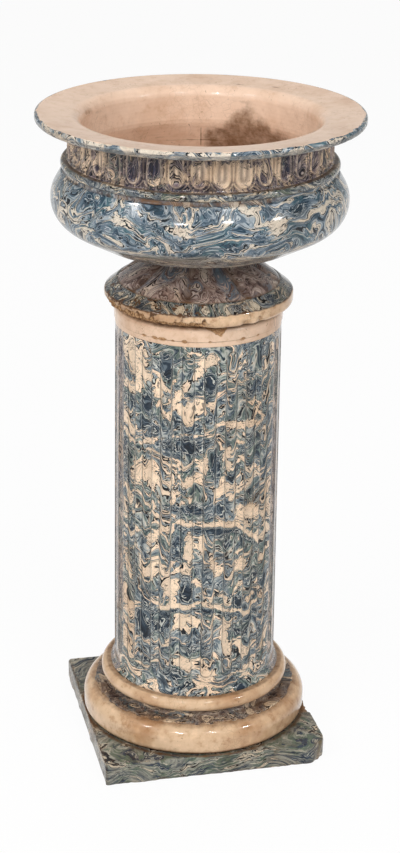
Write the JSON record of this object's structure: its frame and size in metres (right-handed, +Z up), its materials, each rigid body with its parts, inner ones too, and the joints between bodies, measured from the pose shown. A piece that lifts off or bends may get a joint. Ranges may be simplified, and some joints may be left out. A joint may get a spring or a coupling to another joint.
{
  "type": "jardiniere on stand",
  "caption": "Wide flanged plant pot of marbled earthenware that stands loose on a fluted column with a moulded base and a square plinth.",
  "frame": {"origin": "centre of the plinth's underside, on the ground", "axes": "+Z up along the column's axis; the plinth's sides lie along X and Y, and its -Y side faces the front"},
  "size_m": [0.4388, 0.4388, 0.9146],
  "materials": {
    "agate_cream_glaze": "gloss glaze over marbled clay outside and cream slip inside",
    "blue_agate_glaze": "gloss glaze over blue, slate and cream marbled clay",
    "brown_agate_glaze": "gloss glaze over brown, slate and cream marbled clay",
    "cream_glaze": "gloss glaze over cream clay, grimed in the hollows"
  },
  "bodies": {
    "stand": {"plinth": "blue_agate_glaze", "lower_roll": "cream_glaze", "scotia": "brown_agate_glaze", "upper_roll": "cream_glaze", "column_shaft": "blue_agate_glaze", "column_collar": "cream_glaze"},
    "jardiniere": {"foot_ring": "blue_agate_glaze", "foot_dome": "brown_agate_glaze", "bowl": "agate_cream_glaze", "bead_ring": "blue_agate_glaze", "neck_frieze": "brown_agate_glaze"}
  },
  "joints": [
    {"name": "lift_off", "type": "slide", "parent": "stand", "child": "jardiniere", "axis": [0, 0, 1], "range_m": [0, 0.12]}
  ]
}
